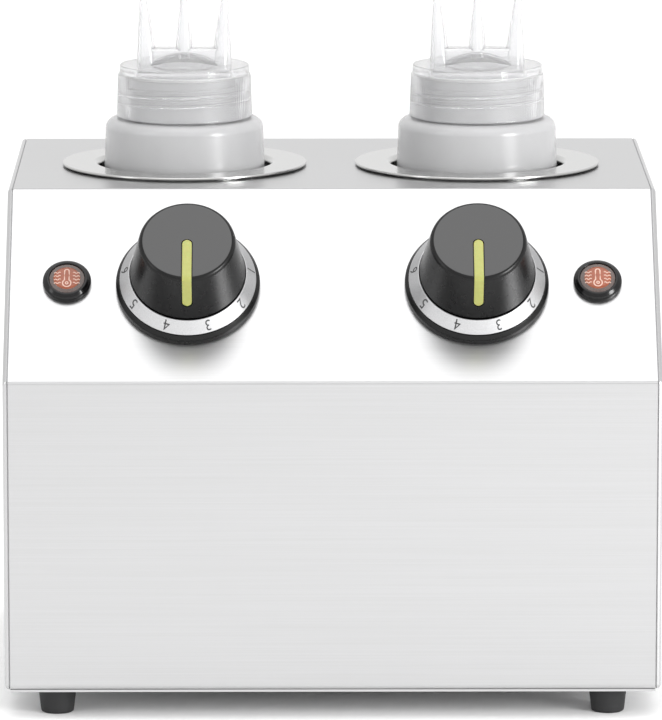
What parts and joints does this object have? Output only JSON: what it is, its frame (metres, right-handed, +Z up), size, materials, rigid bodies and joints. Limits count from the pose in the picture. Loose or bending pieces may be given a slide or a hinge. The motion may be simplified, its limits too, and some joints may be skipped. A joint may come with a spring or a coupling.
{
  "type": "nacho cheese dispenser",
  "caption": "Heated counter-top sauce dispenser: folded stainless housing with sloping control panel, round wells, squeeze bottles with three-nozzle caps, dials and lamps.",
  "frame": {"origin": "under the middle of the whole dispenser, on the counter it stands on", "axes": "+Z up, the control panel and lower front face -Y, +X to the right seen from the front"},
  "size_m": [0.275, 0.2464, 0.2867],
  "materials": {
    "brushed_stainless": "fine straight brushing",
    "spun_stainless": "polished, faint spun rings",
    "zinc_steel": "bright zinc plate",
    "heater_sheath": "dull",
    "thermostat_case": "dull zinc plate",
    "foot_rubber": "matte moulded rubber",
    "sensor_copper": "drawn copper",
    "black_plastic": "semi-gloss moulded phenolic",
    "dial_aluminium": "satin anodised",
    "pointer_lime": "satin",
    "lamp_amber": "translucent moulded lens",
    "lamp_holder": "moulded",
    "gland_nylon": "moulded nylon",
    "terminal_plastic": "moulded",
    "terminal_brass": "turned",
    "wire_silicone": "silicone sleeve",
    "bottle_plastic": "translucent blow-moulded polyethylene",
    "seal_foam": "soft foam liner",
    "cap_plastic": "translucent injection-moulded polyethylene"
  },
  "bodies": {
    "housing": {"front_shell": "brushed_stainless", "side_panel_left": "brushed_stainless", "side_panel_right": "brushed_stainless", "rear_panel": "brushed_stainless", "base_plate": "brushed_stainless", "well_left": "spun_stainless", "well_right": "spun_stainless", "rear_screws": "zinc_steel", "base_screws": "zinc_steel", "foot_screws": "zinc_steel", "foot_nuts": "zinc_steel", "heater_screws_left": "zinc_steel", "heater_screws_right": "zinc_steel", "thermostat_screws": "zinc_steel", "lamp_nut_left": "zinc_steel", "lamp_nut_right": "zinc_steel", "heater_left": "heater_sheath", "heater_right": "heater_sheath", "thermostat_left": "thermostat_case", "thermostat_right": "thermostat_case", "foot_front_left": "foot_rubber", "foot_front_right": "foot_rubber", "foot_rear_left": "foot_rubber", "foot_rear_right": "foot_rubber", "sensor_left": "sensor_copper", "sensor_right": "sensor_copper", "skirt_left": "black_plastic", "skirt_right": "black_plastic", "lamp_bezel_left": "black_plastic", "lamp_bezel_right": "black_plastic", "dial_left": "dial_aluminium", "dial_right": "dial_aluminium", "lamp_lens_left": "lamp_amber", "lamp_lens_right": "lamp_amber", "lamp_body_left": "lamp_holder", "lamp_body_right": "lamp_holder", "gland_body": "gland_nylon", "gland_cap": "gland_nylon", "gland_locknut": "gland_nylon", "terminal_block": "terminal_plastic", "terminal_screws": "terminal_brass", "earth_stud": "terminal_brass", "wiring_left": "wire_silicone", "wiring_right": "wire_silicone"},
    "knob_left": {"knob_left": "black_plastic", "pointer_left": "pointer_lime", "spindle_left": "zinc_steel"},
    "bottle_left": {"bottle_left": "bottle_plastic"},
    "seal_left": {"seal_left": "seal_foam"},
    "cap_left": {"cap_left": "cap_plastic"},
    "knob_right": {"knob_right": "black_plastic", "pointer_right": "pointer_lime", "spindle_right": "zinc_steel"},
    "bottle_right": {"bottle_right": "bottle_plastic"},
    "seal_right": {"seal_right": "seal_foam"},
    "cap_right": {"cap_right": "cap_plastic"}
  },
  "joints": [
    {"name": "knob_left_turn", "type": "hinge", "parent": "housing", "child": "knob_left", "pos_m": [-0.0606, -0.08676, 0.1785], "axis": [0, 0.7071, -0.7071], "range_deg": [-180, 96]},
    {"name": "bottle_left_lift", "type": "slide", "parent": "housing", "child": "bottle_left", "axis": [0, 0, 1], "range_m": [0, 0.2]},
    {"name": "cap_left_rise", "type": "slide", "parent": "bottle_left", "child": "seal_left", "axis": [0, 0, 1], "range_m": [0, 0.008]},
    {"name": "cap_left_turn", "type": "hinge", "parent": "seal_left", "child": "cap_left", "pos_m": [-0.0635, 0.01974, 0.245], "axis": [0, 0, 1], "range_deg": [0, 724]},
    {"name": "knob_right_turn", "type": "hinge", "parent": "housing", "child": "knob_right", "pos_m": [0.0606, -0.08676, 0.1785], "axis": [0, 0.7071, -0.7071], "range_deg": [-180, 96]},
    {"name": "bottle_right_lift", "type": "slide", "parent": "housing", "child": "bottle_right", "axis": [0, 0, 1], "range_m": [0, 0.2]},
    {"name": "cap_right_rise", "type": "slide", "parent": "bottle_right", "child": "seal_right", "axis": [0, 0, 1], "range_m": [0, 0.008]},
    {"name": "cap_right_turn", "type": "hinge", "parent": "seal_right", "child": "cap_right", "pos_m": [0.0635, 0.01974, 0.245], "axis": [0, 0, 1], "range_deg": [0, 724]}
  ],
  "couplings": [
    {"joint": "cap_left_turn", "follows": "cap_left_rise", "rad_per_m": 1570.8},
    {"joint": "cap_right_turn", "follows": "cap_right_rise", "rad_per_m": 1570.8}
  ]
}
